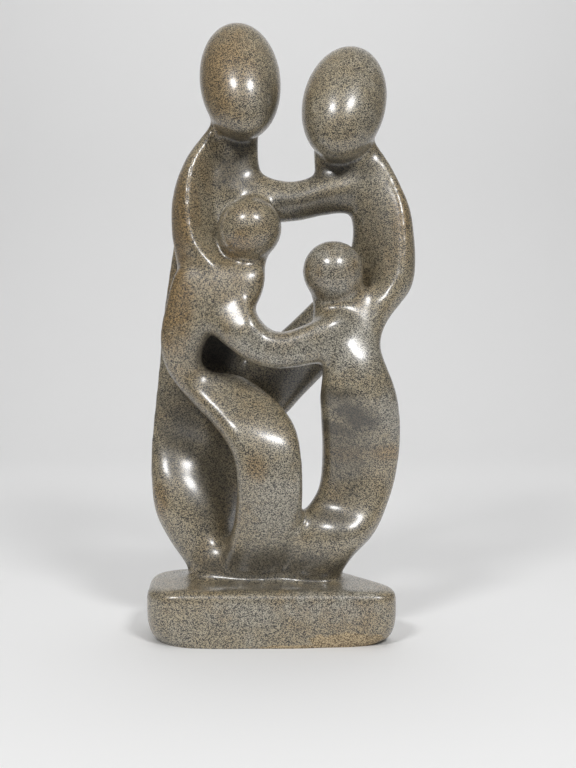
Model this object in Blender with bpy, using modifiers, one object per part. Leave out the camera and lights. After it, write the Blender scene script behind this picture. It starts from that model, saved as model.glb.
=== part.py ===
"""Family group: two parents and two children carved with their base from one block of polished stone."""

import math

import bmesh
import bpy
import numpy as np
from mathutils import Matrix, Vector

# Driving sizes, in metres.
FIGURE_HEIGHT = 0.4033  # from the top of the base to the crown of the taller parent
BASE_LENGTH = 0.182
BASE_DEPTH = 0.088
BASE_THICKNESS = 0.0395
# Each corner of the slab's top seen from above: x as a share of the length, y and rounding of the depth.
BASE_CORNERS = [
    (-0.489, -0.517, 0.250),
    (0.489, -0.517, 0.159),
    (0.484, -0.205, 0.341),
    (0.286, 0.364, 0.455),
    (-0.110, 0.477, 0.682),
    (-0.500, 0.409, 0.295),
]
# The same corners where the slab meets the ground.
FOOTPRINT_CORNERS = [
    (-0.451, -0.534, 0.432),
    (0.456, -0.528, 0.409),
    (0.440, -0.023, 0.182),
    (0.242, 0.273, 0.409),
    (-0.110, 0.375, 0.568),
    (-0.451, 0.307, 0.295),
]
BASE_TOP_ROUNDING = 0.004
BASE_LOWER_ROUNDING = 0.021
BELOW_GROUND = 0.004  # the skin is made this much deeper, then cut off flat at the ground
CHIP_MIDDLE = 0.050
CHIP_LENGTH = 0.062
CHIP_HEIGHT = 0.009
CHIP_DEPTH = 0.004
FOOT_ROUNDING = 0.005  # how far the carver's fillet reaches out of each hollow
EDGE_ROUNDING = 0.0025
GRAIN = 0.0026  # side of the cubes that the limbs are merged in
MOST_TRIANGLES = 9400

# The figures are drawn as the viewer's eye sees them: x and z are read where the line of sight
# crosses the middle plane, and y is the depth, less in front. One unit is a millimetre at full size.
DRAWN_FOOT = 39.5
DRAWN_CROWN = 442.8
EYE_ACROSS = 11.6
EYE_DISTANCE = 880.0
EYE_HEIGHT = 243.7
UNIT = FIGURE_HEIGHT / (DRAWN_CROWN - DRAWN_FOOT)

RING_POINTS = 28
ROWS_BETWEEN = 5
STONE = "polished_stone"


def seen(x, z, y):
    """The point at depth y that the eye sees at x and z on the middle plane, in metres above the table."""
    share = (EYE_DISTANCE + y) / EYE_DISTANCE
    across = EYE_ACROSS + (x - EYE_ACROSS) * share
    height = EYE_HEIGHT + (z - EYE_HEIGHT) * share
    return Vector((across * UNIT, y * UNIT, BASE_THICKNESS + (height - DRAWN_FOOT) * UNIT))


def between(rows, steps):
    """Catmull-Rom rows through the given rows, with steps spans in each gap."""
    rows = np.array(rows, float)
    ends = np.vstack([2 * rows[0] - rows[1], rows, 2 * rows[-1] - rows[-2]])
    found = []
    for i in range(len(rows) - 1):
        a, b, c, d = ends[i : i + 4]
        for t in np.arange(steps) / steps:
            bend = (2 * a - 5 * b + 4 * c - d) * t**2 + (3 * b - a - 3 * c + d) * t**3
            found.append(0.5 * (2 * b + (c - a) * t + bend))
    return np.array(found + [rows[-1]])


def bent(value, power):
    return math.copysign(abs(value) ** power, value)


def add_limb(bm, rows, edge=1.0, ridge=1.0):
    """A limb between two rails. A row is one rail's x, z, y, the other's, and the thickness before and behind.

    An edge over 1 sharpens the limb along its rails, and under 1 squares it. A ridge over 1 gives it a keel.
    """
    rows = between(rows, ROWS_BETWEEN)
    first = [seen(*row[0:3]) for row in rows]
    second = [seen(*row[3:6]) for row in rows]
    middles = [(a + b) / 2 for a, b in zip(first, second)]
    rings = []
    for i, row in enumerate(rows):
        along = (middles[min(i + 1, len(rows) - 1)] - middles[max(i - 1, 0)]).normalized()
        across = (second[i] - first[i]) / 2
        deep = across.cross(along).normalized()
        if deep.y > 0:
            deep.negate()
        ring = []
        for k in range(RING_POINTS):
            turn = 2 * math.pi * k / RING_POINTS
            out = bent(math.cos(turn), ridge)
            forward = bent(math.sin(turn), edge)
            thickness = row[6] if forward > 0 else row[7]
            ring.append(middles[i] + across * out + deep * (forward * thickness * UNIT))
        rings.append(ring)
    add_loft(bm, rings)


def add_loft(bm, rings):
    """Rings of points skinned into a closed tube, with a flat cap at each end."""
    made = [[bm.verts.new(point) for point in ring] for ring in rings]
    count = len(made[0])
    for low, high in zip(made, made[1:]):
        for k in range(count):
            n = (k + 1) % count
            bm.faces.new((low[k], low[n], high[n], high[k]))
    bm.faces.new(made[0][::-1])
    bm.faces.new(made[-1])


def add_egg(bm, middle, half_sizes, lean, nod, turn, narrowing=0.0):
    """A head: an egg of these half sizes, leaning sideways, its chin forward and its face turned."""
    found = bmesh.ops.create_uvsphere(bm, u_segments=40, v_segments=28, radius=1.0)
    heart = seen(*middle)
    wide, deep, tall = (size * UNIT for size in half_sizes)
    pose = Matrix.Rotation(lean, 3, "Y") @ Matrix.Rotation(turn, 3, "Z") @ Matrix.Rotation(-nod, 3, "X")
    for vert in found["verts"]:
        across, back, up = vert.co
        taper = 1 + narrowing * up
        vert.co = heart + pose @ Vector((across * wide * taper, back * deep * taper, up * tall))


def add_base(bm):
    """The slab: straight in front, cut away behind its right end, drawn in at the ground, with a chip."""
    top = slab_outline(BASE_CORNERS)
    foot = slab_outline(FOOTPRINT_CORNERS)
    quarter = [math.radians(a) for a in range(0, 91, 15)]
    levels = [(-BELOW_GROUND, 0.0, 0.0)]
    for turn in quarter:
        levels.append((BASE_LOWER_ROUNDING * (1 - math.cos(turn)), math.sin(turn), 0.0))
    for turn in quarter:
        height = BASE_THICKNESS - BASE_TOP_ROUNDING * (1 - math.sin(turn))
        levels.append((height, 1.0, BASE_TOP_ROUNDING * (1 - math.cos(turn))))
    rings = []
    for height, share, inset in levels:
        ring = []
        for (low, low_out), (high, high_out) in zip(foot, top):
            spot = low.lerp(high, share)
            out = low_out.lerp(high_out, share).normalized()
            along = (spot.x - CHIP_MIDDLE) / (CHIP_LENGTH / 2)
            broken = 0.0
            if out.y < -0.5 and height < CHIP_HEIGHT:
                broken = CHIP_DEPTH * max(0.0, 1 - along**2) * (1 - max(0.0, height) / CHIP_HEIGHT)
            spot = spot - out * (inset + broken)
            ring.append(Vector((spot.x, spot.y, height)))
        rings.append(ring)
    add_loft(bm, rings)


def slab_outline(corners):
    """Points round a slab with rounded corners, each with the way out, the same number for any slab."""
    arcs = []
    spots = [(Vector((x * BASE_LENGTH, y * BASE_DEPTH)), rounding * BASE_DEPTH) for x, y, rounding in corners]
    for i, (corner, radius) in enumerate(spots):
        before = (spots[i - 1][0] - corner).normalized()
        after = (spots[(i + 1) % len(spots)][0] - corner).normalized()
        half_angle = before.angle(after) / 2
        heart = corner + (before + after).normalized() * (radius / math.sin(half_angle))
        first = corner + before * (radius / math.tan(half_angle)) - heart
        last = corner + after * (radius / math.tan(half_angle)) - heart
        arcs.append([(heart, first.normalized().slerp(last.normalized(), k / 8) * radius) for k in range(9)])
    found = []
    for arc, next_arc in zip(arcs, arcs[1:] + arcs[:1]):
        found += [(heart + out, out.normalized()) for heart, out in arc]
        start, start_out = found[-1]
        end = next_arc[0][0] + next_arc[0][1]
        found += [(start.lerp(end, k / 8), start_out) for k in range(1, 8)]
    return found


def add_figures(bm):
    head_nod = math.radians(32)
    add_egg(bm, (-22.5, 398.7, 0), (29.3, 29, 49.4), math.radians(-9.5), head_nod, math.radians(-4), 0.01)
    add_egg(bm, (51.8, 383.2, 2), (30.3, 29, 48.3), math.radians(6), head_nod, math.radians(-11), 0.0)
    add_egg(bm, (-16, 294.5, -15), (23.2, 23, 22.8), 0, 0, 0)
    add_egg(bm, (44.2, 263.5, -15), (22.2, 22, 22.2), 0, 0, 0)

    # Father's neck and trunk, behind the left child, his robe flaring forward at the knee.
    add_limb(
        bm,
        [
            (-42, 385, 15, -7, 378, 15, 13, 14),
            (-42, 368, 14, -9, 358, 14, 12, 15),
            (-46, 354, 13, -9, 345, 13, 12, 18),
            (-54, 338, 11, -8, 334, 12, 12, 20),
            (-62, 318, 11, -6, 314, 13, 12, 20),
            (-69.5, 292, 12, -6, 288, 14, 12, 22),
            (-74, 266, 14, -10, 258, 16, 12, 20),
            (-79, 233, 16, -12, 228, 18, 11, 18),
            (-81.5, 207, 18, -20, 202, 22, 10, 17),
            (-83.5, 185, 18, -30, 172, 24, 11, 17),
            (-86, 162, 18, -31, 147, 26, 12, 16),
            (-88, 145, 17, -29, 124, 26, 9.5, 15),
            (-88.5, 130, 14, -27, 106, 24, 12, 16),
            (-88.7, 117, 10, -27, 92, 20, 14.5, 18),
            (-88, 103, 8, -28, 80, 16, 16, 20),
            (-85, 87, 7, -32, 66, 14, 16, 25),
            (-75.5, 68, 7, -16, 57, 12, 16, 25),
            (-61, 45, 5, 0, 42, 5, 16, 22),
            (-57, 25, 5, 0, 25, 5, 16, 22),
        ],
    )
    # Father's arm: a flat outer face, with its sharp front edge curling under the child's head.
    add_limb(
        bm,
        [
            (-40, 372, 6, -36, 368, -2, 4, 8),
            (-48, 361, 5, -47, 356, -9, 3, 8),
            (-60, 345, 4, -56.5, 342, -16, 3, 9),
            (-69, 327, 3, -60, 325, -20, 3, 10),
            (-73, 308, 2, -60.5, 307, -23, 3, 11),
            (-73, 292, 1, -58.5, 291, -25, 3, 12),
            (-71, 278, 1, -53, 278, -26, 4, 13),
            (-69, 264, 1, -43, 269, -26, 5, 14),
            (-72, 250, 0, -34, 256, -25, 6, 14),
        ],
        edge=1.6,
    )
    # The hollow between that edge and his chest.
    add_limb(
        bm,
        [
            (-46, 356, -6, -36, 352, 6, 2, 8),
            (-55, 342, -14, -38, 338, 6, 1, 9),
            (-58.5, 325, -18, -37, 322, 6, 1, 10),
            (-59, 307, -20, -36, 305, 6, 1, 10),
            (-57, 291, -22, -35, 290, 5, 1, 10),
            (-51, 279, -23, -32, 280, 0, 2, 10),
            (-44, 268, -20, -24, 268, -4, 3, 10),
        ],
        edge=1.6,
    )
    # The arm that joins the parents.
    add_limb(
        bm,
        [
            (-34, 345, 12, -36, 300, 12, 13, 14),
            (-12, 336, 10, -16, 299, 10, 14, 15),
            (4, 329.5, 9, 4, 298, 9, 14, 15),
            (20, 329, 9, 20, 299, 9, 14, 15),
            (38, 336, 9, 38, 303, 9, 14, 15),
            (62, 345, 10, 60, 305, 10, 13, 16),
        ],
        edge=0.95,
        ridge=1.9,
    )
    # Mother's neck and shoulders.
    add_limb(
        bm,
        [
            (33, 372, 17, 73, 374, 17, 13, 14),
            (29.5, 352, 16, 74, 356, 15, 12, 16),
            (30, 338, 12, 78, 344, 12, 12, 17),
            (34, 318, 12, 82, 325, 12, 12, 18),
        ],
    )
    # Mother's trunk, sweeping down behind the children to the father's feet.
    add_limb(
        bm,
        [
            (46, 352, 12, 75, 351, 10, 12, 16),
            (52, 330, 13, 87, 330, 9, 13, 18),
            (57, 304, 14, 95, 306, 8, 13, 20),
            (57.5, 284, 15, 98, 285, 8, 13, 20),
            (50, 266, 17, 98.5, 262, 8, 13, 20),
            (40, 253, 19, 92, 246, 10, 13, 17),
            (28, 241, 21, 75, 233, 14, 13, 15),
            (8, 222, 24, 55, 207, 20, 13, 16),
            (-12, 206, 26, 36, 187, 25, 12, 16),
            (-32, 188, 27, 17, 167, 27, 11, 16),
            (-46, 163, 28, -5, 140, 29, 10, 15),
            (-56, 130, 28, -20, 110, 29, 10, 14),
            (-60, 95, 26, -20, 82, 28, 10, 14),
            (-56, 55, 18, -10, 50, 18, 10, 16),
        ],
        edge=0.7,
    )
    # Mother's arm: a sharp front edge close to her outline, crossing to the right child's shoulder.
    add_limb(
        bm,
        [
            (66, 358, 6, 75, 353, 9, 4, 8),
            (78, 341, -2, 85, 336, 8, 4, 9),
            (87, 327, -7, 91, 321, 7, 4, 10),
            (92, 310, -12, 97, 306, 6, 5, 12),
            (94.5, 290, -16, 100, 288, 6, 5, 13),
            (94, 270, -19, 100.5, 269, 5, 6, 14),
            (90, 255, -21, 98, 254, 4, 7, 13),
            (82, 243, -22, 89, 244, 2, 8, 12),
            (74, 230, -24, 79, 235, -2, 9, 11),
            (67, 216, -25, 74, 220, -6, 9, 12),
            (62, 200, -24, 76, 202, -8, 9, 12),
        ],
        edge=1.2,
    )
    # The hollow between that edge and her side of the ring.
    add_limb(
        bm,
        [
            (62, 350, 4, 75, 346, 0, 2, 10),
            (62, 332, 4, 85, 328, -5, 2, 12),
            (60, 310, 5, 91, 309, -10, 2, 13),
            (60, 292, 5, 93, 290, -14, 2, 13),
            (64, 275, 4, 92.5, 271, -17, 2, 13),
            (70, 260, 2, 88, 256, -18, 3, 12),
            (70, 246, -4, 80, 244, -18, 4, 12),
        ],
        edge=1.6,
    )
    # Left child's trunk and leg.
    add_limb(
        bm,
        [
            (-58, 272, -13, -5, 268, -15, 7, 12),
            (-69, 264, -12, -4, 261, -16, 12, 14),
            (-73.5, 252, -10, -6, 251, -17, 14.5, 16),
            (-76.5, 238, -10, -13, 238, -18, 15, 16),
            (-80, 220, -10, -40, 224, -17, 13, 15),
            (-79.5, 203, -9, -51, 204, -12, 11, 14),
            (-74, 188, -10, -46, 192, -5, 9, 13),
            (-60, 172.5, -15, -22, 187, 3, 9, 13),
            (-45, 157.5, -23, 2, 170, -4, 10, 14),
            (-35, 144, -30, 16, 152, -15, 11, 14),
            (-28, 127, -32, 21, 135, -25, 11, 14),
            (-26, 108, -29, 22.5, 112, -27, 12, 16),
            (-27, 88, -20, 22, 92, -21, 13, 17),
            (-31, 68, -10, 18, 72, -12, 15, 20),
            (-40, 45, 3, 10, 46, 3, 18, 22),
            (-40, 26, 4, 10, 26, 4, 18, 22),
        ],
        edge=0.5,
    )
    # The foot that all four share, where their robes run together.
    add_limb(
        bm,
        [
            (-50, 64, 6, 52, 62, 4, 14, 18),
            (-64, 56, 5, 57, 55, 3, 17, 20),
            (-61, 45, 4, 50.5, 43, 4, 18, 22),
            (-57, 25, 4, 48, 25, 4, 18, 22),
        ],
        edge=0.6,
    )
    # Left child's neck.
    add_limb(
        bm,
        [
            (-35, 288, -9, 2, 284, -9, 10, 12),
            (-36, 274, -8, -3, 272, -8, 9, 12),
            (-40, 258, -8, -6, 256, -8, 9, 12),
        ],
    )
    # Left child's arm, across to the other child.
    add_limb(
        bm,
        [
            (-30, 262, -14, -73, 246, -10, 8, 12),
            (-16, 247, -21, -54, 229, -15, 11.5, 12),
            (-12, 234, -26, -35, 212, -20, 14.5, 13),
            (-4, 223, -28, -14, 198, -23, 14, 13),
            (8, 219.5, -28, 6, 193.5, -24, 13, 13),
            (26, 226, -27, 28, 196.5, -24, 13, 13),
            (44, 234, -25, 48, 202, -23, 11, 13),
            (60, 236, -15, 62, 208, -17, 8, 12),
        ],
        edge=0.5,
    )
    # Right child's neck, trunk and long skirt.
    add_limb(
        bm,
        [
            (27, 256, -11, 61, 258, -9, 11, 12),
            (28, 246, -9, 64, 248, -7, 10, 12),
            (31, 232, -8, 70, 236, -6, 9, 12),
        ],
    )
    add_limb(
        bm,
        [
            (33, 244, -9, 74, 252, -8, 8, 12),
            (30, 236, -12, 76, 246, -10, 11, 13),
            (29, 229, -13, 75, 238, -10, 13, 15),
            (32, 216, -16, 74, 217, -10, 18, 16),
            (37, 196, -21, 81.5, 196, -14, 20.5, 17),
            (35, 176, -24, 90, 176, -16, 19.5, 18),
            (35.5, 158, -22, 93, 156, -9, 15.5, 18),
            (36.5, 138, -16, 93.5, 138, -6, 12, 18),
            (36, 120, -10, 90, 113, -3, 12.5, 18),
            (33.5, 106, -6, 85, 95, -9, 13, 19),
            (27.5, 95, -2, 78.5, 80, -17, 13, 20),
            (17, 80, -3, 69, 66, -21, 18.5, 22),
            (6, 64, 0, 59, 55, -16, 18, 22),
            (-4, 45, 1, 50, 43, 1, 18, 22),
            (-4, 26, 2, 48, 26, 3, 18, 22),
        ],
        edge=0.7,
    )


def merged(bm, grain):
    """The limbs as one closed skin, remeshed in cubes of this side."""
    mesh = bpy.data.meshes.new("limbs")
    bmesh.ops.recalc_face_normals(bm, faces=bm.faces)
    bm.to_mesh(mesh)
    bm.free()
    limbs = bpy.data.objects.new("limbs", mesh)
    bpy.context.scene.collection.objects.link(limbs)
    remesh = limbs.modifiers.new("merge", "REMESH")
    remesh.mode = "VOXEL"
    remesh.voxel_size = grain
    graph = bpy.context.evaluated_depsgraph_get()
    skin = bpy.data.meshes.new_from_object(limbs.evaluated_get(graph))
    bpy.data.objects.remove(limbs)
    return skin


def soften(mesh, grain):
    """Fills each hollow with a fillet, and takes only the sharpness off the forms that stand out."""
    count = len(mesh.vertices)
    points = np.empty(count * 3)
    mesh.vertices.foreach_get("co", points)
    points = points.reshape(-1, 3)
    ends = np.empty(len(mesh.edges) * 2, np.int64)
    mesh.edges.foreach_get("vertices", ends)
    ends = ends.reshape(-1, 2)
    source = np.concatenate([ends[:, 0], ends[:, 1]])
    target = np.concatenate([ends[:, 1], ends[:, 0]])
    neighbours = np.bincount(source, minlength=count)[:, None]
    rounds = max(1, round(4 * (FOOT_ROUNDING / grain) ** 2))
    edge_share = 0.5 * (EDGE_ROUNDING / FOOT_ROUNDING) ** 2
    normals = np.empty(count * 3)
    for turn in range(rounds):
        if turn % 4 == 0:
            mesh.vertices.foreach_set("co", points.ravel())
            mesh.update()
            mesh.vertices.foreach_get("normal", normals)
        sums = np.stack([np.bincount(source, points[target, axis], count) for axis in range(3)], axis=1)
        step = sums / neighbours - points
        hollow = (step * normals.reshape(-1, 3)).sum(axis=1) > 0
        points += step * np.where(hollow, 0.5, edge_share)[:, None]
    mesh.vertices.foreach_set("co", points.ravel())
    mesh.update()


def carved_stone(grain):
    """The whole carving as a fine skin."""
    bm = bmesh.new()
    add_figures(bm)
    add_base(bm)
    mesh = merged(bm, grain)
    soften(mesh, grain)
    return mesh


def main():
    for obj in list(bpy.data.objects):
        bpy.data.objects.remove(obj)
    collection = bpy.data.collections.new("family_group_sculpture")
    bpy.context.scene.collection.children.link(collection)
    stone = bpy.data.objects.new("family_group", carved_stone(GRAIN))
    collection.objects.link(stone)
    triangles = sum(len(face.vertices) - 2 for face in stone.data.polygons)
    thin = stone.modifiers.new("fewer_faces", "DECIMATE")
    thin.ratio = min(1.0, MOST_TRIANGLES / triangles)
    graph = bpy.context.evaluated_depsgraph_get()
    mesh = bpy.data.meshes.new_from_object(stone.evaluated_get(graph))
    stone.modifiers.clear()
    stone.data = mesh
    bm = bmesh.new()
    bm.from_mesh(mesh)
    geometry = bm.verts[:] + bm.edges[:] + bm.faces[:]
    cut = bmesh.ops.bisect_plane(bm, geom=geometry, plane_co=(0, 0, 0), plane_no=(0, 0, -1), clear_outer=True)
    rim = [e for e in cut["geom_cut"] if isinstance(e, bmesh.types.BMEdge)]
    bmesh.ops.contextual_create(bm, geom=rim)
    bmesh.ops.triangulate(bm, faces=[f for f in bm.faces if len(f.verts) > 3])
    bmesh.ops.recalc_face_normals(bm, faces=bm.faces)
    bm.to_mesh(mesh)
    bm.free()
    mesh.shade_smooth()
    material = bpy.data.materials.new(STONE)
    material.use_nodes = True
    shader = material.node_tree.nodes["Principled BSDF"]
    shader.inputs["Base Color"].default_value = (0.16, 0.14, 0.11, 1)
    shader.inputs["Roughness"].default_value = 0.25
    mesh.materials.append(material)


if __name__ == "__main__":
    main()
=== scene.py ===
"""Looks of the family group: one block of carved serpentine, polished all over, on a pale studio floor."""

import math

import bmesh
import bpy
import numpy as np
from mathutils import Matrix, Vector
from mathutils.bvhtree import BVHTree


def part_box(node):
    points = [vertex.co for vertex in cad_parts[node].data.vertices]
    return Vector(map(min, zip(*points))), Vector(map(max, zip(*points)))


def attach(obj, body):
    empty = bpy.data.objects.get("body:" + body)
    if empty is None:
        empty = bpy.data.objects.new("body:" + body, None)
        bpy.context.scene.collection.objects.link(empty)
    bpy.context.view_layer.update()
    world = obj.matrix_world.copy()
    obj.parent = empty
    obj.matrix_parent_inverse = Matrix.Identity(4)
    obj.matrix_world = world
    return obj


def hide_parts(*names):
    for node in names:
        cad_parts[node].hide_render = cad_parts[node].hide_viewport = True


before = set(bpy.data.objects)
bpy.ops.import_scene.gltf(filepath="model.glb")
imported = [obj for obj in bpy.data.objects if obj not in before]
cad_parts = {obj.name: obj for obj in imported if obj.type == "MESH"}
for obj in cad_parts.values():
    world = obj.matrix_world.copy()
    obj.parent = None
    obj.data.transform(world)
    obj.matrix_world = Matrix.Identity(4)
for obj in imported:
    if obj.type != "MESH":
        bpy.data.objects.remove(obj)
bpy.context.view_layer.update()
carving_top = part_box("family_group")[1].z

# Driving sizes of the carving, in metres.
BASE_LENGTH = 0.182
BASE_DEPTH = 0.088
BASE_THICKNESS = 0.0395
FIGURE_HEIGHT = carving_top - BASE_THICKNESS
# Each corner of the slab's top seen from above: x as a share of the length, y and rounding of the depth.
BASE_CORNERS = [
    (-0.489, -0.517, 0.250),
    (0.489, -0.517, 0.159),
    (0.484, -0.205, 0.341),
    (0.286, 0.364, 0.455),
    (-0.110, 0.477, 0.682),
    (-0.500, 0.409, 0.295),
]
# The same corners where the slab meets the ground.
FOOTPRINT_CORNERS = [
    (-0.451, -0.534, 0.432),
    (0.456, -0.528, 0.409),
    (0.440, -0.023, 0.182),
    (0.242, 0.273, 0.409),
    (-0.110, 0.375, 0.568),
    (-0.451, 0.307, 0.295),
]
BASE_TOP_ROUNDING = 0.004
BASE_LOWER_ROUNDING = 0.021
BELOW_GROUND = 0.004  # the skin is made this much deeper, then cut off flat at the ground
CHIP_MIDDLE = 0.050
CHIP_LENGTH = 0.062
CHIP_HEIGHT = 0.009
CHIP_DEPTH = 0.004
FOOT_ROUNDING = 0.005  # how far the carver's fillet reaches out of each hollow
EDGE_ROUNDING = 0.0035  # how far the edges that stand out are rubbed down, so that highlights run unbroken
GRAIN = 0.0018  # side of the cubes that the limbs are merged in
POLISHING = 10  # how many times the merged skin is rubbed over

# The figures are drawn as the viewer's eye sees them: x and z are read where the line of sight
# crosses the middle plane, and y is the depth, less in front. One unit is a millimetre at full size.
DRAWN_FOOT = 39.5
DRAWN_CROWN = 442.8
EYE_ACROSS = 11.6
EYE_DISTANCE = 880.0
EYE_HEIGHT = 243.7
EYE_DOWN = math.radians(4)
UNIT = FIGURE_HEIGHT / (DRAWN_CROWN - DRAWN_FOOT)

RING_POINTS = 28
ROWS_BETWEEN = 5

# Flatter places that mirror a lamp broadly: where each is seen (x, z), its radius in metres, and how flat
# it is made, from 0 to 1.
FLAT_SPOTS = [
    (-24, 229, 0.022, 0.7),
    (66, 209, 0.022, 0.7),
]

# The darkest and the lightest grain of each kind of stone in the block, and of the painted shade: dark is
# mostly painted shade, shaded is painted shade throughout.
STONE_COLOURS = {
    "plain": ("#1c1711", "#b1a488"),
    "rusty": ("#1e150a", "#aa8e60"),
    "grey": ("#23211c", "#b8b2a2"),
    "dark": ("#100e0a", "#5c5340"),
    "pale": ("#6d604a", "#c4b494"),
    "chipped": ("#5f4f39", "#cab692"),
    "shaded": ("#100e0b", "#3a342b"),
}
# Widths of the patterns in the stone, in metres.
GRAIN_WIDTH = 0.0005
FLECK_WIDTH = 0.0016
MOTTLE_WIDTH = 0.009
CLOUD_WIDTH = 0.045
# Where the stone changes colour, and where shade is painted on it. An area is its middle as drawn (x, z, y),
# its half width and half height, its lean in degrees, and how fully it takes the new colour.
AREA_DEPTH = 0.03  # how far each area reaches in front and behind, in metres
RUST_AREAS = [
    ((-38, 402, -20), 24, 36, 10, 0.8),
    ((-66, 300, -10), 11, 40, 0, 1.0),
    ((-70, 245, -15), 14, 34, 5, 1.0),
    ((-84, 96, 0), 8, 14, 0, 0.8),
    ((-25, 282, -30), 13, 8, -30, 0.9),
    ((82, 133, -10), 12, 6, 0, 0.8),
    ((52, 131, -25), 18, 6, 0, 0.6),
    ((-12, 122, -35), 8, 9, 0, 0.7),
    ((92, 300, 0), 6, 28, 0, 0.7),
    ((-78, 34, -45), 7, 5, 0, 0.8),
    ((-58, 33, -45), 7, 5, 0, 0.8),
]
# Mostly painted shade: under the chins, under the arm that joins the parents, in the father's chest hollow,
# down the right side of the father's head, beside the right child's head, behind the children's arms, in the
# hollow by the father's robe, on the skirt's lower side and along the shared foot. On the skirt it also
# stands for dark patches in the stone.
SHADE_AND_DARK_AREAS = [
    ((46, 173, -30), 15, 7, 0, 0.75),
    ((60, 159, -26), 17, 10, 30, 1.0),
    ((47, 150, -26), 17, 6, 10, 0.9),
    ((-1, 380, -5), 7, 18, 0, 0.8),
    ((-22, 356, -5), 13, 7, 0, 0.8),
    ((-26, 336, -5), 18, 16, 0, 0.7),
    ((34, 310, 0), 32, 11, 0, 0.7),
    ((-68, 146, 0), 18, 32, 0, 0.75),
    ((52, 130, -28), 20, 30, 0, 0.6),
    ((46, 84, -32), 16, 12, 0, 0.6),
    ((45, 337, -5), 16, 6, -5, 0.9),
    ((-49, 176, -35), 4, 5, 0, 0.7),
    ((-44, 116, 10), 16, 44, 5, 0.7),
    ((-4, 48, -20), 66, 14, 0, 0.8),
    ((68, 290, -5), 18, 34, 0, 0.4),
    ((20, 190, 15), 40, 26, 0, 0.6),
]
GREY_AREAS = [
    ((43, 265, -30), 20, 22, 0, 1.0),
    ((58, 212, -35), 26, 20, 0, 0.9),
    ((5, 208, -40), 34, 16, 0, 0.9),
    ((86, 165, -15), 12, 22, 0, 0.8),
    ((4, 95, -35), 18, 34, 0, 0.7),
    ((44, 20, -50), 34, 12, 0, 0.9),
    ((-20, 12, -50), 26, 10, 0, 0.7),
]
PALE_VEINS = [
    ((-56, 228, -25), 14, 0.5, -20, 0.6),
    ((-74, 219, -20), 6, 0.4, -25, 0.5),
    ((-28, 176, -35), 8, 0.4, 30, 0.5),
]
CHIPPED_AREAS = [((57, -8, -45), 27, 6, 0, 1.0), ((22, -13, -45), 34, 2.5, 0, 1.0)]
# Painted shade filling the deep hollow under the left child's arm, beside the father's side.
SHADED_POCKET_AREAS = [((-38, 206, 2), 19, 20, 0, 1.0)]


def seen(x, z, y):
    """The point at depth y that the eye sees at x and z on the middle plane, in metres above the floor."""
    share = (EYE_DISTANCE + y) / EYE_DISTANCE
    across = EYE_ACROSS + (x - EYE_ACROSS) * share
    height = EYE_HEIGHT + (z - EYE_HEIGHT) * share
    return Vector((across * UNIT, y * UNIT, BASE_THICKNESS + (height - DRAWN_FOOT) * UNIT))


def between(rows, steps):
    """Catmull-Rom rows through the given rows, with steps spans in each gap."""
    rows = np.array(rows, float)
    ends = np.vstack([2 * rows[0] - rows[1], rows, 2 * rows[-1] - rows[-2]])
    found = []
    for i in range(len(rows) - 1):
        a, b, c, d = ends[i : i + 4]
        for t in np.arange(steps) / steps:
            bend = (2 * a - 5 * b + 4 * c - d) * t**2 + (3 * b - a - 3 * c + d) * t**3
            found.append(0.5 * (2 * b + (c - a) * t + bend))
    return np.array(found + [rows[-1]])


def bent(value, power):
    return math.copysign(abs(value) ** power, value)


def pull_tube(bm, rings):
    """A closed tube through rings of points: a disc, pulled out from ring to ring."""
    disc = bmesh.ops.create_circle(bm, segments=len(rings[0]), radius=1.0, cap_ends=True)["verts"]
    cap = disc[0].link_faces[0]
    ring = [loop.vert for loop in cap.loops]
    for vert, point in zip(ring, rings[0]):
        vert.co = point
    for points in rings[1:]:
        grown = bmesh.ops.extrude_face_region(bm, geom=[cap], use_keep_orig=points is rings[1])["geom"]
        cap = next(part for part in grown if isinstance(part, bmesh.types.BMFace))
        risen = set(cap.verts)
        ring = [next(e.other_vert(v) for e in v.link_edges if e.other_vert(v) in risen) for v in ring]
        for vert, point in zip(ring, points):
            vert.co = point


def add_limb(bm, rows, edge=1.0, ridge=1.0):
    """A limb between two rails.

    A row is one rail's x, z, y, the other's, and the thickness in front and behind. An edge over 1 sharpens
    the limb along its rails, and under 1 squares it. A ridge over 1 gives it a keel.
    """
    rows = between(rows, ROWS_BETWEEN)
    first = [seen(*row[0:3]) for row in rows]
    second = [seen(*row[3:6]) for row in rows]
    middles = [(a + b) / 2 for a, b in zip(first, second)]
    rings = []
    for i, row in enumerate(rows):
        along = (middles[min(i + 1, len(rows) - 1)] - middles[max(i - 1, 0)]).normalized()
        across = (second[i] - first[i]) / 2
        deep = across.cross(along).normalized()
        if deep.y > 0:
            deep.negate()
        ring = []
        for k in range(RING_POINTS):
            turn = 2 * math.pi * k / RING_POINTS
            out = bent(math.cos(turn), ridge)
            forward = bent(math.sin(turn), edge)
            thickness = row[6] if forward > 0 else row[7]
            ring.append(middles[i] + across * out + deep * (forward * thickness * UNIT))
        rings.append(ring)
    pull_tube(bm, rings)


def add_egg(bm, middle, half_sizes, lean, nod, turn, narrowing=0.0):
    """A head: an egg of these half sizes, leaning sideways, its chin forward and its face turned."""
    found = bmesh.ops.create_uvsphere(bm, u_segments=40, v_segments=28, radius=1.0)
    heart = seen(*middle)
    wide, deep, tall = (size * UNIT for size in half_sizes)
    pose = Matrix.Rotation(lean, 3, "Y") @ Matrix.Rotation(turn, 3, "Z") @ Matrix.Rotation(-nod, 3, "X")
    for vert in found["verts"]:
        across, back, up = vert.co
        taper = 1 + narrowing * up
        vert.co = heart + pose @ Vector((across * wide * taper, back * deep * taper, up * tall))


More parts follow.
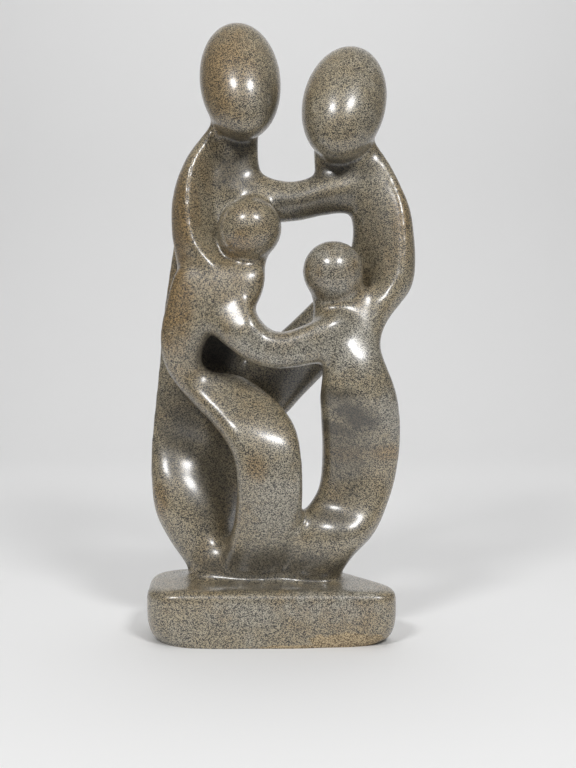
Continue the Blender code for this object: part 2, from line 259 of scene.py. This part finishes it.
def add_base(bm):
    """The slab: straight in front, cut away behind its right end, drawn in at the ground, with a chip."""
    top = slab_outline(BASE_CORNERS)
    foot = slab_outline(FOOTPRINT_CORNERS)
    quarter = [math.radians(a) for a in range(0, 91, 15)]
    levels = [(-BELOW_GROUND, 0.0, 0.0)]
    for turn in quarter:
        levels.append((BASE_LOWER_ROUNDING * (1 - math.cos(turn)), math.sin(turn), 0.0))
    for turn in quarter:
        height = BASE_THICKNESS - BASE_TOP_ROUNDING * (1 - math.sin(turn))
        levels.append((height, 1.0, BASE_TOP_ROUNDING * (1 - math.cos(turn))))
    rings = []
    for height, share, inset in levels:
        ring = []
        for (low, low_out), (high, high_out) in zip(foot, top):
            spot = low.lerp(high, share)
            out = low_out.lerp(high_out, share).normalized()
            along = (spot.x - CHIP_MIDDLE) / (CHIP_LENGTH / 2)
            broken = 0.0
            if out.y < -0.5 and height < CHIP_HEIGHT:
                broken = CHIP_DEPTH * max(0.0, 1 - along**2) * (1 - max(0.0, height) / CHIP_HEIGHT)
            spot = spot - out * (inset + broken)
            ring.append(Vector((spot.x, spot.y, height)))
        rings.append(ring)
    pull_tube(bm, rings)


def slab_outline(corners):
    """Points round a slab with rounded corners, each with the way out, the same number for any slab."""
    arcs = []
    spots = [(Vector((x * BASE_LENGTH, y * BASE_DEPTH)), share * BASE_DEPTH) for x, y, share in corners]
    for i, (corner, radius) in enumerate(spots):
        before = (spots[i - 1][0] - corner).normalized()
        after = (spots[(i + 1) % len(spots)][0] - corner).normalized()
        half_angle = before.angle(after) / 2
        heart = corner + (before + after).normalized() * (radius / math.sin(half_angle))
        first = corner + before * (radius / math.tan(half_angle)) - heart
        last = corner + after * (radius / math.tan(half_angle)) - heart
        outs = [first.normalized().slerp(last.normalized(), k / 8) * radius for k in range(9)]
        arcs.append([(heart, out) for out in outs])
    found = []
    for arc, next_arc in zip(arcs, arcs[1:] + arcs[:1]):
        found += [(heart + out, out.normalized()) for heart, out in arc]
        start, start_out = found[-1]
        end = next_arc[0][0] + next_arc[0][1]
        found += [(start.lerp(end, k / 8), start_out) for k in range(1, 8)]
    return found


def add_figures(bm):
    """The four heads and every limb, each run a little way into the next so that they merge."""
    head_nod = math.radians(32)
    add_egg(bm, (-22.5, 398.7, 0), (29.3, 29, 49.4), math.radians(-9.5), head_nod, math.radians(-4), 0.01)
    add_egg(bm, (51.8, 383.2, 2), (30.3, 29, 48.3), math.radians(6), head_nod, math.radians(-11), 0.0)
    add_egg(bm, (-16, 294.5, -15), (23.2, 23, 22.8), 0, 0, 0)
    add_egg(bm, (44.2, 263.5, -15), (22.2, 22, 22.2), 0, 0, 0)

    # Father's neck and trunk, behind the left child, his robe flaring forward at the knee.
    add_limb(
        bm,
        [
            (-42, 385, 15, -7, 378, 15, 13, 14),
            (-42, 368, 14, -9, 358, 14, 12, 15),
            (-46, 354, 13, -9, 345, 13, 12, 18),
            (-54, 338, 11, -8, 334, 12, 12, 20),
            (-62, 318, 11, -6, 314, 13, 12, 20),
            (-69.5, 292, 12, -6, 288, 14, 12, 22),
            (-74, 266, 14, -10, 258, 16, 12, 20),
            (-79, 233, 16, -12, 228, 18, 11, 18),
            (-81.5, 207, 18, -20, 202, 22, 10, 17),
            (-83.5, 185, 18, -30, 172, 24, 11, 17),
            (-86, 162, 18, -31, 147, 26, 12, 16),
            (-88, 145, 17, -29, 124, 26, 9.5, 15),
            (-88.5, 130, 14, -27, 106, 24, 12, 16),
            (-88.7, 117, 10, -27, 92, 20, 14.5, 18),
            (-88, 103, 8, -28, 80, 16, 16, 20),
            (-85, 87, 7, -32, 66, 14, 16, 25),
            (-75.5, 68, 7, -16, 57, 12, 16, 25),
            (-61, 45, 5, 0, 42, 5, 16, 22),
            (-57, 25, 5, 0, 25, 5, 16, 22),
        ],
    )
    # Father's arm: a flat outer face, with its sharp front edge curling under the child's head.
    add_limb(
        bm,
        [
            (-40, 372, 6, -36, 368, -2, 4, 8),
            (-48, 361, 5, -47, 356, -9, 3, 8),
            (-60, 345, 4, -56.5, 342, -16, 3, 9),
            (-69, 327, 3, -60, 325, -20, 3, 10),
            (-73, 308, 2, -60.5, 307, -23, 3, 11),
            (-73, 292, 1, -58.5, 291, -25, 3, 12),
            (-71, 278, 1, -53, 278, -26, 4, 13),
            (-69, 264, 1, -43, 269, -26, 5, 14),
            (-72, 250, 0, -34, 256, -25, 6, 14),
        ],
        edge=1.6,
    )
    # The hollow between that edge and his chest.
    add_limb(
        bm,
        [
            (-46, 356, -6, -36, 352, 6, 2, 8),
            (-55, 342, -14, -38, 338, 6, 1, 9),
            (-58.5, 325, -18, -37, 322, 6, 1, 10),
            (-59, 307, -20, -36, 305, 6, 1, 10),
            (-57, 291, -22, -35, 290, 5, 1, 10),
            (-51, 279, -23, -32, 280, 0, 2, 10),
            (-44, 268, -20, -24, 268, -4, 3, 10),
        ],
        edge=1.6,
    )
    # The arm that joins the parents.
    add_limb(
        bm,
        [
            (-34, 345, 12, -36, 300, 12, 13, 14),
            (-12, 336, 10, -16, 299, 10, 14, 15),
            (4, 329.5, 9, 4, 298, 9, 14, 15),
            (20, 329, 9, 20, 299, 9, 14, 15),
            (38, 336, 9, 38, 303, 9, 14, 15),
            (62, 345, 10, 60, 305, 10, 13, 16),
        ],
        edge=0.95,
        ridge=1.9,
    )
    # Mother's neck and shoulders.
    add_limb(
        bm,
        [
            (33, 372, 17, 73, 374, 17, 13, 14),
            (29.5, 352, 16, 74, 356, 15, 12, 16),
            (30, 338, 12, 78, 344, 12, 12, 17),
            (34, 318, 12, 82, 325, 12, 12, 18),
        ],
    )
    # Mother's trunk, sweeping down behind the children to the father's feet.
    add_limb(
        bm,
        [
            (46, 352, 12, 75, 351, 10, 12, 16),
            (52, 330, 13, 87, 330, 9, 13, 18),
            (57, 304, 14, 95, 306, 8, 13, 20),
            (57.5, 284, 15, 98, 285, 8, 13, 20),
            (50, 266, 17, 98.5, 262, 8, 13, 20),
            (40, 253, 19, 92, 246, 10, 13, 17),
            (28, 241, 21, 75, 233, 14, 13, 15),
            (8, 222, 24, 55, 207, 20, 13, 16),
            (-12, 206, 26, 36, 187, 25, 12, 16),
            (-32, 188, 27, 17, 167, 27, 11, 16),
            (-46, 163, 28, -5, 140, 29, 10, 15),
            (-56, 130, 28, -20, 110, 29, 10, 14),
            (-60, 95, 26, -20, 82, 28, 10, 14),
            (-56, 55, 18, -10, 50, 18, 10, 16),
        ],
        edge=0.7,
    )
    # Mother's arm: a sharp front edge close to her outline, crossing to the right child's shoulder.
    add_limb(
        bm,
        [
            (66, 358, 6, 75, 353, 9, 4, 8),
            (78, 341, -2, 85, 336, 8, 4, 9),
            (87, 327, -7, 91, 321, 7, 4, 10),
            (92, 310, -12, 97, 306, 6, 5, 12),
            (94.5, 290, -16, 100, 288, 6, 5, 13),
            (94, 270, -19, 100.5, 269, 5, 6, 14),
            (90, 255, -21, 98, 254, 4, 7, 13),
            (82, 243, -22, 89, 244, 2, 8, 12),
            (74, 230, -24, 79, 235, -2, 9, 11),
            (67, 216, -25, 74, 220, -6, 9, 12),
            (62, 200, -24, 76, 202, -8, 9, 12),
        ],
        edge=1.2,
    )
    # The hollow between that edge and her side of the ring.
    add_limb(
        bm,
        [
            (62, 350, 4, 75, 346, 0, 2, 10),
            (62, 332, 4, 85, 328, -5, 2, 12),
            (60, 310, 5, 91, 309, -10, 2, 13),
            (60, 292, 5, 93, 290, -14, 2, 13),
            (64, 275, 4, 92.5, 271, -17, 2, 13),
            (70, 260, 2, 88, 256, -18, 3, 12),
            (70, 246, -4, 80, 244, -18, 4, 12),
        ],
        edge=1.6,
    )
    # Left child's trunk and leg.
    add_limb(
        bm,
        [
            (-58, 272, -13, -5, 268, -15, 7, 12),
            (-69, 264, -12, -4, 261, -16, 12, 14),
            (-73.5, 252, -10, -6, 251, -17, 14.5, 16),
            (-76.5, 238, -10, -13, 238, -18, 15, 16),
            (-80, 220, -10, -40, 224, -17, 13, 15),
            (-79.5, 203, -9, -51, 204, -12, 11, 14),
            (-74, 188, -10, -46, 192, -5, 9, 13),
            (-60, 172.5, -15, -22, 187, 3, 9, 13),
            (-45, 157.5, -23, 2, 170, -4, 10, 14),
            (-35, 144, -30, 16, 152, -15, 11, 14),
            (-28, 127, -32, 21, 135, -25, 11, 14),
            (-26, 108, -29, 22.5, 112, -27, 12, 16),
            (-27, 88, -20, 22, 92, -21, 13, 17),
            (-31, 68, -10, 18, 72, -12, 15, 20),
            (-40, 45, 3, 10, 46, 3, 18, 22),
            (-40, 26, 4, 10, 26, 4, 18, 22),
        ],
        edge=0.5,
    )
    # The foot that all four share, where their robes run together.
    add_limb(
        bm,
        [
            (-50, 64, 6, 52, 62, 4, 14, 18),
            (-64, 56, 5, 57, 55, 3, 17, 20),
            (-61, 45, 4, 50.5, 43, 4, 18, 22),
            (-57, 25, 4, 48, 25, 4, 18, 22),
        ],
        edge=0.6,
    )
    # Left child's neck.
    add_limb(
        bm,
        [
            (-35, 288, -9, 2, 284, -9, 10, 12),
            (-36, 274, -8, -3, 272, -8, 9, 12),
            (-40, 258, -8, -6, 256, -8, 9, 12),
        ],
    )
    # Left child's arm, across to the other child.
    add_limb(
        bm,
        [
            (-30, 262, -14, -73, 246, -10, 8, 12),
            (-16, 247, -21, -54, 229, -15, 11.5, 12),
            (-12, 234, -26, -35, 212, -20, 14.5, 13),
            (-4, 223, -28, -14, 198, -23, 14, 13),
            (8, 219.5, -28, 6, 193.5, -24, 13, 13),
            (26, 226, -27, 28, 196.5, -24, 13, 13),
            (44, 234, -25, 48, 202, -23, 11, 13),
            (60, 236, -15, 62, 208, -17, 8, 12),
        ],
        edge=0.5,
    )
    # Right child's neck, trunk and long skirt.
    add_limb(
        bm,
        [
            (27, 256, -11, 61, 258, -9, 11, 12),
            (28, 246, -9, 64, 248, -7, 10, 12),
            (31, 232, -8, 70, 236, -6, 9, 12),
        ],
    )
    add_limb(
        bm,
        [
            (33, 244, -9, 74, 252, -8, 8, 12),
            (30, 236, -12, 76, 246, -10, 11, 13),
            (29, 229, -13, 75, 238, -10, 13, 15),
            (32, 216, -16, 74, 217, -10, 18, 16),
            (37, 196, -21, 81.5, 196, -14, 20.5, 17),
            (35, 176, -24, 90, 176, -16, 19.5, 18),
            (35.5, 158, -22, 93, 156, -9, 15.5, 18),
            (36.5, 138, -16, 93.5, 138, -6, 12, 18),
            (36, 120, -10, 90, 113, -3, 12.5, 18),
            (33.5, 106, -6, 85, 95, -9, 13, 19),
            (27.5, 95, -2, 78.5, 80, -17, 13, 20),
            (17, 80, -3, 69, 66, -21, 18.5, 22),
            (6, 64, 0, 59, 55, -16, 18, 22),
            (-4, 45, 1, 50, 43, 1, 18, 22),
            (-4, 26, 2, 48, 26, 3, 18, 22),
        ],
        edge=0.7,
    )


def merged(bm, grain):
    """The limbs as one closed skin, remeshed in cubes of this side."""
    mesh = bpy.data.meshes.new("limbs")
    bmesh.ops.recalc_face_normals(bm, faces=bm.faces)
    bm.to_mesh(mesh)
    bm.free()
    limbs = bpy.data.objects.new("limbs", mesh)
    bpy.context.scene.collection.objects.link(limbs)
    remesh = limbs.modifiers.new("merge", "REMESH")
    remesh.mode = "VOXEL"
    remesh.voxel_size = grain
    graph = bpy.context.evaluated_depsgraph_get()
    skin = bpy.data.meshes.new_from_object(limbs.evaluated_get(graph))
    bpy.data.objects.remove(limbs)
    return skin


def soften(mesh, grain):
    """Fills each hollow with a fillet, and takes only the sharpness off the forms that stand out."""
    count = len(mesh.vertices)
    points = np.empty(count * 3)
    mesh.vertices.foreach_get("co", points)
    points = points.reshape(-1, 3)
    ends = np.empty(len(mesh.edges) * 2, np.int64)
    mesh.edges.foreach_get("vertices", ends)
    ends = ends.reshape(-1, 2)
    source = np.concatenate([ends[:, 0], ends[:, 1]])
    target = np.concatenate([ends[:, 1], ends[:, 0]])
    neighbours = np.bincount(source, minlength=count)[:, None]
    rounds = max(1, round(4 * (FOOT_ROUNDING / grain) ** 2))
    edge_share = 0.5 * (EDGE_ROUNDING / FOOT_ROUNDING) ** 2
    normals = np.empty(count * 3)
    for turn in range(rounds):
        if turn % 4 == 0:
            mesh.vertices.foreach_set("co", points.ravel())
            mesh.update()
            mesh.vertices.foreach_get("normal", normals)
        sums = np.stack([np.bincount(source, points[target, axis], count) for axis in range(3)], axis=1)
        step = sums / neighbours - points
        hollow = (step * normals.reshape(-1, 3)).sum(axis=1) > 0
        points += step * np.where(hollow, 0.5, edge_share)[:, None]
    mesh.vertices.foreach_set("co", points.ravel())
    mesh.update()


def polish(mesh):
    """Takes the last ripples off the skin, so that the highlights run smoothly."""
    bm = bmesh.new()
    bm.from_mesh(mesh)
    for turn in range(POLISHING):
        bmesh.ops.smooth_vert(
            bm,
            verts=bm.verts,
            factor=0.5,
            use_axis_x=True,
            use_axis_y=True,
            use_axis_z=True,
        )
    bm.to_mesh(mesh)
    bm.free()


def bearing(azimuth, elevation):
    """The direction at these angles, the azimuth counted from the camera's side towards the right."""
    flat = math.cos(elevation)
    return Vector((flat * math.sin(azimuth), -flat * math.cos(azimuth), math.sin(elevation)))


def eye_place():
    """Where the viewer's eye is, which is the camera's place too."""
    return seen(EYE_ACROSS, EYE_HEIGHT, -EYE_DISTANCE)


def flatten_spots(bm):
    """Presses the skin towards a plane in a few places, where the light lies broadly on the stone."""
    mirrors_left_lamp = bearing(math.radians(-13.7), math.radians(24))
    mirrors_right_lamp = bearing(math.radians(10.5), math.radians(24))
    eye = eye_place()
    for x, z, radius, share in FLAT_SPOTS:
        skin = BVHTree.FromBMesh(bm)
        middle, normal = skin.ray_cast(eye, seen(x, z, 0) - eye)[:2]
        facing = min(mirrors_left_lamp, mirrors_right_lamp, key=normal.angle)
        for vert in bm.verts:
            away = vert.co - middle
            if away.length < radius:
                fade = (1 - (away.length / radius) ** 2) ** 2
                vert.co -= facing * away.dot(facing) * share * fade


def carve_stone():
    """The whole carving as one smooth skin, flat underneath."""
    bm = bmesh.new()
    add_figures(bm)
    add_base(bm)
    mesh = merged(bm, GRAIN)
    soften(mesh, GRAIN)
    polish(mesh)
    bm = bmesh.new()
    bm.from_mesh(mesh)
    flatten_spots(bm)
    cut = bmesh.ops.bisect_plane(
        bm,
        geom=bm.verts[:] + bm.edges[:] + bm.faces[:],
        plane_co=(0, 0, 0),
        plane_no=(0, 0, -1),
        clear_outer=True,
    )
    rim = [edge for edge in cut["geom_cut"] if isinstance(edge, bmesh.types.BMEdge)]
    bmesh.ops.contextual_create(bm, geom=rim)
    bmesh.ops.recalc_face_normals(bm, faces=bm.faces)
    bm.to_mesh(mesh)
    bm.free()
    mesh.name = "carved_family"
    mesh.shade_smooth()
    stone = bpy.data.objects.new("carved_family", mesh)
    bpy.context.scene.collection.objects.link(stone)
    return stone


def linear(colour):
    """An sRGB hex colour as the linear values that the shaders work in."""
    parts = [int(colour[i : i + 2], 16) / 255 for i in (1, 3, 5)]
    return [p / 12.92 if p <= 0.04045 else ((p + 0.055) / 1.055) ** 2.4 for p in parts] + [1.0]


def add_node(tree, kind, inputs, output=0, **settings):
    """Adds a node with its settings, gives its inputs values or links, and returns one of its outputs."""
    node = tree.nodes.new(kind)
    for name, value in settings.items():
        setattr(node, name, value)
    for name, value in inputs.items():
        if isinstance(value, bpy.types.NodeSocket):
            tree.links.new(value, node.inputs[name])
        else:
            node.inputs[name].default_value = value
    return node.outputs[output]


def new_material(name):
    """A material, its node tree and its shader."""
    material = bpy.data.materials.new(name)
    material.use_nodes = True
    tree = material.node_tree
    return material, tree, tree.nodes["Principled BSDF"]


def inside(tree, place, areas, ragged, fade=0.6):
    """How far a point lies inside any of these areas, from 0 to 1, with ragged edges that fade out."""
    found = 0.0
    for middle, half_width, half_height, lean, strength in areas:
        area = add_node(
            tree,
            "ShaderNodeMapping",
            {
                "Vector": place,
                "Location": seen(*middle),
                "Rotation": (0.0, math.radians(lean), 0.0),
                "Scale": (half_width * UNIT, AREA_DEPTH, half_height * UNIT),
            },
            vector_type="TEXTURE",
        )
        away = add_node(tree, "ShaderNodeVectorMath", {0: area}, output=1, operation="LENGTH")
        frayed = add_node(tree, "ShaderNodeMath", {0: ragged, 1: away}, operation="ADD")
        share = add_node(
            tree,
            "ShaderNodeMapRange",
            {"Value": frayed, "From Min": 1 + fade, "From Max": 1 - fade, "To Max": strength},
            interpolation_type="SMOOTHSTEP",
        )
        found = add_node(tree, "ShaderNodeMath", {0: share, 1: found}, operation="MAXIMUM")
    return found


def polished_serpentine():
    """Serpentine rubbed smooth and waxed.

    It gives the eye fine dark and light grains under a clear shine, rusty and grey areas, dark areas that are
    mostly painted shade, a pocket of painted shade, and a raw chip.
    """
    material, tree, shader = new_material("polished_serpentine")
    place = add_node(tree, "ShaderNodeTexCoord", {}, output=3)

    # Each grain has its own tone, and the dark ones gather in loose flecks.
    grain = add_node(
        tree,
        "ShaderNodeTexVoronoi",
        {"Vector": place, "Scale": 1 / GRAIN_WIDTH},
        output=1,
    )
    grain_tone = add_node(tree, "ShaderNodeSeparateColor", {0: grain})
    flecks = add_node(
        tree,
        "ShaderNodeTexNoise",
        {"Vector": place, "Scale": 1 / FLECK_WIDTH, "Detail": 2.0},
    )
    tone = add_node(tree, "ShaderNodeMath", {0: flecks, 1: 0.3, 2: -0.15}, operation="MULTIPLY_ADD")
    tone = add_node(tree, "ShaderNodeMath", {0: grain_tone, 1: tone}, operation="ADD")
    share = add_node(tree, "ShaderNodeMapRange", {"Value": tone, "From Min": 0.3, "From Max": 0.7})
    # A colour mix takes its share at input 0 and its two colours at inputs 6 and 7.
    stone = {}
    for name, (dark, light) in STONE_COLOURS.items():
        stone[name] = add_node(
            tree,
            "ShaderNodeMix",
            {0: share, 6: linear(dark), 7: linear(light)},
            output=2,
            data_type="RGBA",
        )

    # Mottles of a centimetre and clouds of half a hand shift the tone of the whole block.
    mottles = add_node(
        tree,
        "ShaderNodeTexNoise",
        {"Vector": place, "Scale": 1 / MOTTLE_WIDTH, "Detail": 3.0},
    )
    clouds = add_node(
        tree,
        "ShaderNodeTexNoise",
        {"Vector": place, "Scale": 1 / CLOUD_WIDTH, "Detail": 5.0},
    )
    ragged = add_node(tree, "ShaderNodeMath", {0: mottles, 1: 1.6, 2: -0.8}, operation="MULTIPLY_ADD")
    patchy = add_node(tree, "ShaderNodeMath", {0: mottles, 1: 0.5, 2: clouds}, operation="MULTIPLY_ADD")
    warm = add_node(
        tree,
        "ShaderNodeMapRange",
        {"Value": patchy, "From Min": 0.75, "From Max": 1.0, "To Max": 0.5},
    )
    cool = add_node(
        tree,
        "ShaderNodeMapRange",
        {"Value": patchy, "From Min": 0.72, "From Max": 0.5, "To Max": 0.7},
    )
    rust = add_node(
        tree,
        "ShaderNodeMath",
        {0: inside(tree, place, RUST_AREAS, ragged), 1: warm},
        operation="MAXIMUM",
    )
    grey = add_node(
        tree,
        "ShaderNodeMath",
        {0: inside(tree, place, GREY_AREAS, ragged), 1: cool},
        operation="MAXIMUM",
    )
    chipped = inside(tree, place, CHIPPED_AREAS, ragged, 0.12)
    shaded_pocket = inside(tree, place, SHADED_POCKET_AREAS, 0.0)
    rough = add_node(tree, "ShaderNodeMath", {0: chipped, 1: shaded_pocket}, operation="MAXIMUM")
    colour = stone["plain"]
    # The dark areas lay mostly painted shade over the stone's own colours, and the pocket lays painted shade.
    for name, covered in [
        ("grey", grey),
        ("rusty", rust),
        ("dark", inside(tree, place, SHADE_AND_DARK_AREAS, ragged)),
        ("pale", inside(tree, place, PALE_VEINS, 0.0)),
        ("chipped", chipped),
        ("shaded", shaded_pocket),
    ]:
        colour = add_node(
            tree,
            "ShaderNodeMix",
            {0: covered, 6: colour, 7: stone[name]},
            output=2,
            data_type="RGBA",
        )
    tree.links.new(colour, shader.inputs["Base Color"])

    # The grains take the polish unevenly, and the chip never had any; the pocket of painted shade is left as
    # dull. A number mix has its values at 2 and 3.
    worn = add_node(tree, "ShaderNodeMapRange", {"Value": tone, "To Min": 0.46, "To Max": 0.36})
    roughness = add_node(tree, "ShaderNodeMix", {0: rough, 2: worn, 3: 0.85})
    tree.links.new(roughness, shader.inputs["Roughness"])
    wax = add_node(tree, "ShaderNodeMapRange", {"Value": rough, "To Min": 0.75, "To Max": 0.0})
    tree.links.new(wax, shader.inputs["Coat Weight"])
    bump = add_node(tree, "ShaderNodeBump", {"Strength": 0.25, "Distance": 0.0001, "Height": tone})
    tree.links.new(bump, shader.inputs["Normal"])
    shader.inputs["IOR"].default_value = 1.56
    shader.inputs["Specular IOR Level"].default_value = 0.75
    shader.inputs["Coat Roughness"].default_value = 0.2
    shader.inputs["Coat IOR"].default_value = 1.6
    return material


def matt_paint():
    """White wall paint, which gives the eye an even pale ground that mirrors nothing."""
    material, tree, shader = new_material("matt_paint")
    shader.inputs["Base Color"].default_value = linear("#eeeeee")
    shader.inputs["Roughness"].default_value = 0.9
    return material


def add_studio():
    """A pale floor that curves up into a pale wall behind the carving."""
    half_width = 1.4
    front = -0.45
    wall = 1.5
    top = 2.6
    bend = 0.5
    profile = [(front, 0.0), (wall - bend, 0.0)]
    for k in range(1, 13):
        turn = math.radians(90 * k / 12)
        profile.append((wall - bend + bend * math.sin(turn), bend * (1 - math.cos(turn))))
    profile.append((wall, top))
    bm = bmesh.new()
    verts = [bm.verts.new((-half_width, y, z)) for y, z in profile]
    edges = [bm.edges.new(pair) for pair in zip(verts, verts[1:])]
    pulled = bmesh.ops.extrude_edge_only(bm, edges=edges)["geom"]
    far_verts = [part for part in pulled if isinstance(part, bmesh.types.BMVert)]
    bmesh.ops.translate(bm, vec=(2 * half_width, 0, 0), verts=far_verts)
    bmesh.ops.recalc_face_normals(bm, faces=bm.faces)
    mesh = bpy.data.meshes.new("studio")
    bm.to_mesh(mesh)
    bm.free()
    mesh.shade_smooth()
    mesh.materials.append(matt_paint())
    studio = bpy.data.objects.new("studio", mesh)
    bpy.context.scene.collection.objects.link(studio)


def add_lamp(name, target, azimuth, elevation, distance, size, power):
    """A wide soft lamp aimed at a point from this bearing, in degrees, metres and watts."""
    light = bpy.data.lights.new(name, "AREA")
    light.shape = "ELLIPSE"
    light.size, light.size_y = size
    light.energy = power
    lamp = bpy.data.objects.new(name, light)
    lamp.location = target + distance * bearing(math.radians(azimuth), math.radians(elevation))
    lamp.rotation_euler = (lamp.location - target).to_track_quat("Z", "Y").to_euler()
    bpy.context.scene.collection.objects.link(lamp)
    return lamp


def add_camera():
    """The photograph's view: a 57 mm lens 0.88 m in front of the middle plane, looking 4 degrees down."""
    data = bpy.data.cameras.new("camera")
    data.lens = 57
    data.sensor_width = 36
    data.clip_start = 0.01
    camera = bpy.data.objects.new("camera", data)
    camera.location = eye_place()
    camera.rotation_euler = (math.radians(90) - EYE_DOWN, 0, 0)
    bpy.context.scene.collection.objects.link(camera)
    bpy.context.scene.camera = camera


def add_lights():
    """Two lamps in front, mirrored on every head, and soft light from above and all round."""
    figures = Vector((0.01, 0.0, 0.24))
    wall = Vector((0.0, 1.5, 0.5))
    add_lamp("left_lamp", figures, -27, 37, 1.6, (0.38, 0.25), 9.5)
    add_lamp("right_lamp", figures, 27, 37, 1.6, (0.42, 0.29), 11)
    ceiling_lamp = add_lamp("ceiling_lamp", figures, 180, 78, 1.9, (2.4, 1.8), 15.5)
    ceiling_lamp.visible_glossy = False
    add_lamp("wall_lamp", wall, 0, 35, 1.2, (1.6, 0.3), 2.8)
    world = bpy.data.worlds.new("room")
    world.use_nodes = True
    background = world.node_tree.nodes["Background"]
    background.inputs["Color"].default_value = linear("#ffffff")
    background.inputs["Strength"].default_value = 0.14
    bpy.context.scene.world = world


def main():
    """The whole scene: the view, the room, the light and the carving."""
    bpy.context.scene.view_settings.view_transform = "Standard"
    add_camera()
    add_studio()
    add_lights()
    stone = carve_stone()
    stone.data.materials.append(polished_serpentine())
    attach(stone, "root")
    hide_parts("family_group")


main()
